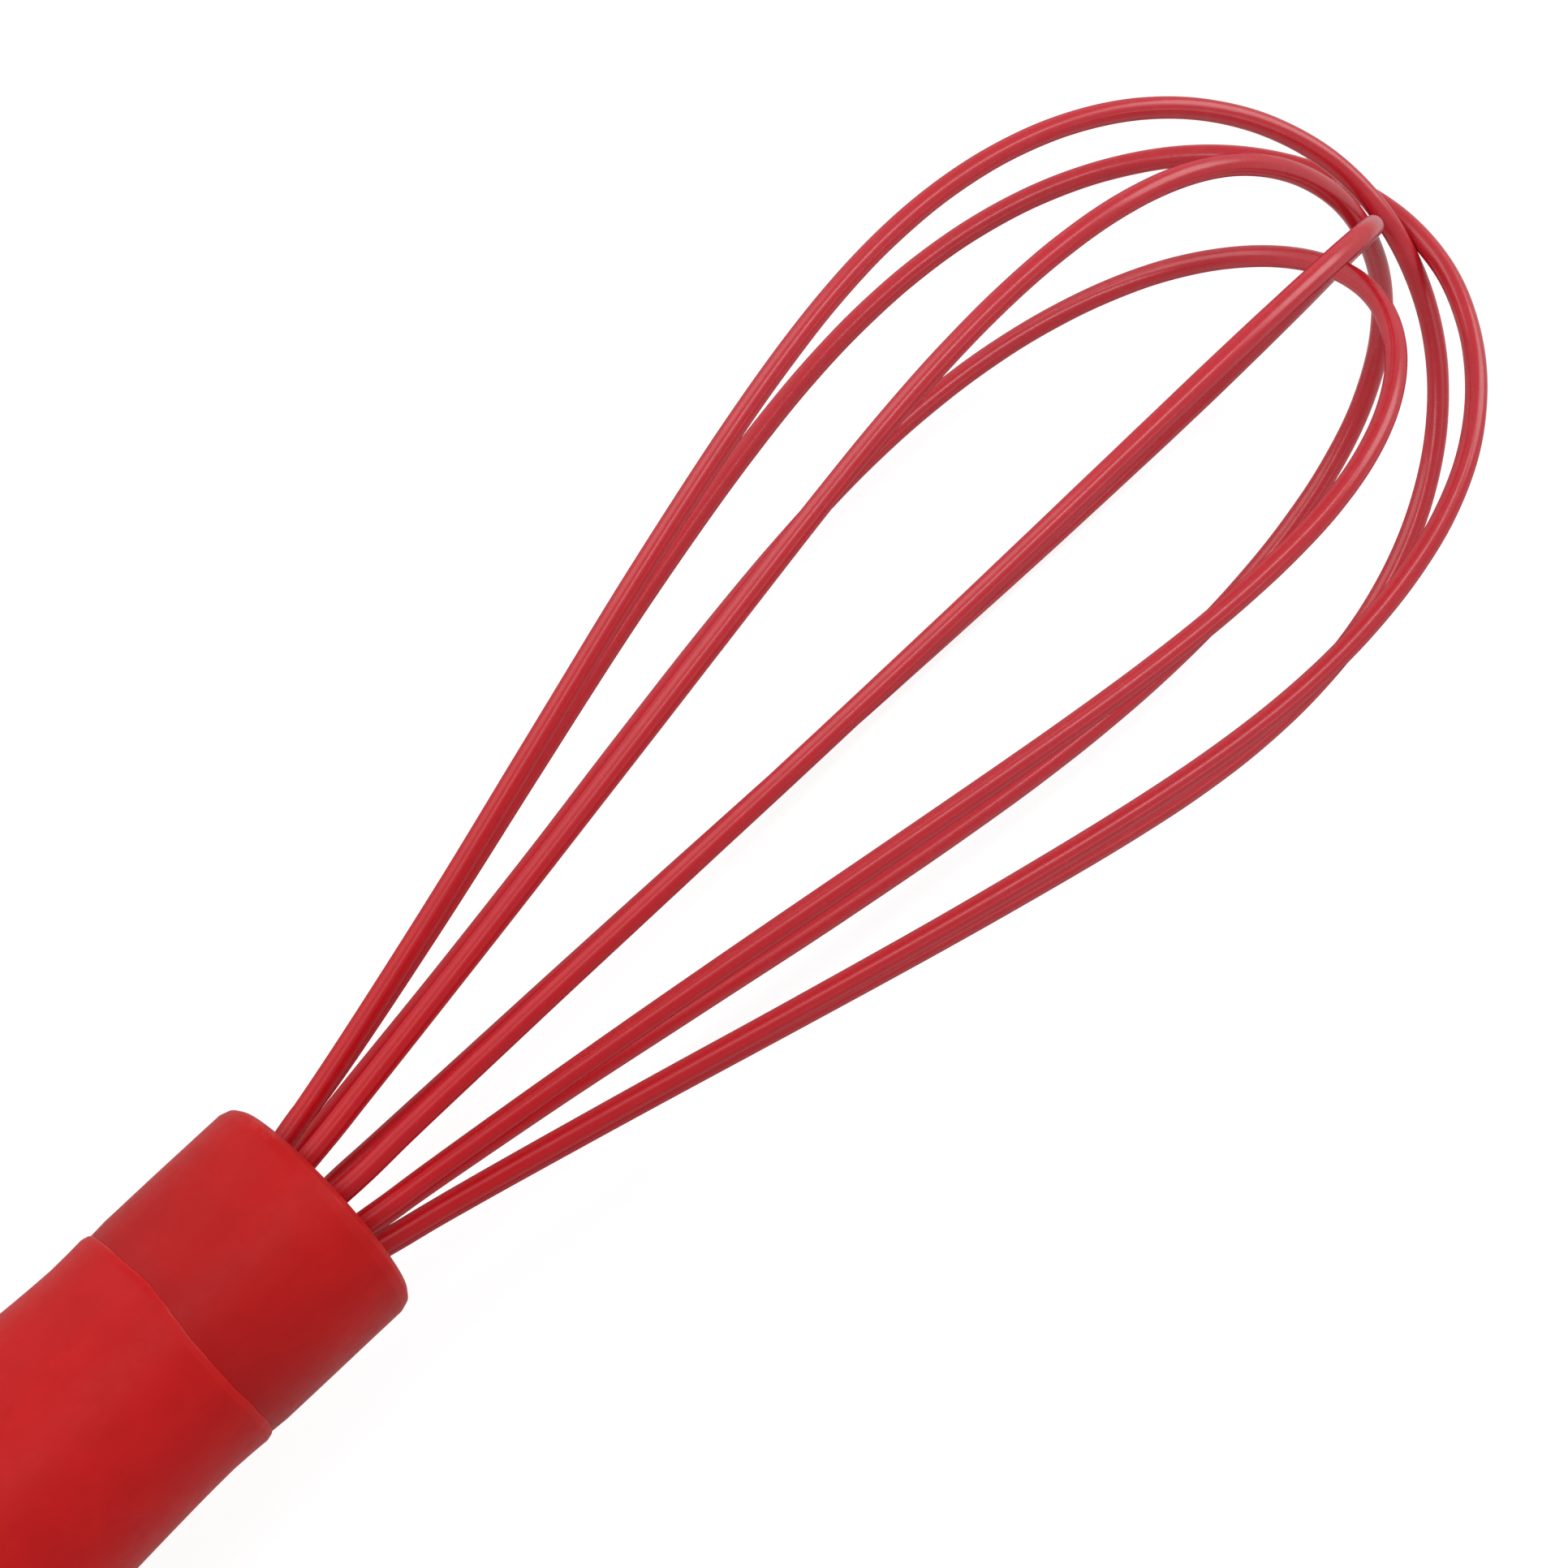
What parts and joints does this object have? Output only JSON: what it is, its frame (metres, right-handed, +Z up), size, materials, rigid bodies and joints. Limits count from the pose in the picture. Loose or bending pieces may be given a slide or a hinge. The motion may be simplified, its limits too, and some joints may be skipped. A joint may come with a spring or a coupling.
{
  "type": "balloon whisk",
  "caption": "Balloon whisk with silicone-sleeved wire loops splayed from a round silicone handle, with a swinging hang ring at the handle's end.",
  "frame": {"origin": "centre of the wire holder's flat front boss, flush with the collar's front face, where the wire loops leave the handle", "axes": "+X along the whisk from handle to tip, +Z up, +Y to the left seen from the handle with +Z up"},
  "size_m": [0.2906, 0.0666, 0.0683],
  "materials": {
    "handle_silicone": "satin, faintly mottled red silicone",
    "sleeve_silicone": "semi-gloss red silicone over wire",
    "steel_wire": "drawn stainless wire",
    "steel_bright": "polished stainless",
    "nylon_red": "moulded nylon",
    "core_plastic": "glass-filled polypropylene",
    "resin": "cast epoxy",
    "seal_rubber": "nitrile rubber"
  },
  "bodies": {
    "whisk": {"collar": "handle_silicone", "grip": "handle_silicone", "handle_core": "core_plastic", "wire_holder": "nylon_red", "seal_ring": "seal_rubber", "ferrule": "steel_bright", "potting_plug": "resin", "lock_pin": "steel_bright", "end_cap": "handle_silicone", "loop_a_wire": "steel_wire", "loop_a_sleeve": "sleeve_silicone", "loop_b_wire": "steel_wire", "loop_b_sleeve": "sleeve_silicone", "loop_c_wire": "steel_wire", "loop_c_sleeve": "sleeve_silicone", "loop_d_wire": "steel_wire", "loop_d_sleeve": "sleeve_silicone", "loop_e_wire": "steel_wire", "loop_e_sleeve": "sleeve_silicone"},
    "ring": {"hang_ring": "steel_bright"}
  },
  "joints": [
    {"name": "ring_swing", "type": "hinge", "parent": "whisk", "child": "ring", "pos_m": [-0.1106, 0, 0], "axis": [0, 1, 0], "range_deg": [-100, 100]}
  ]
}
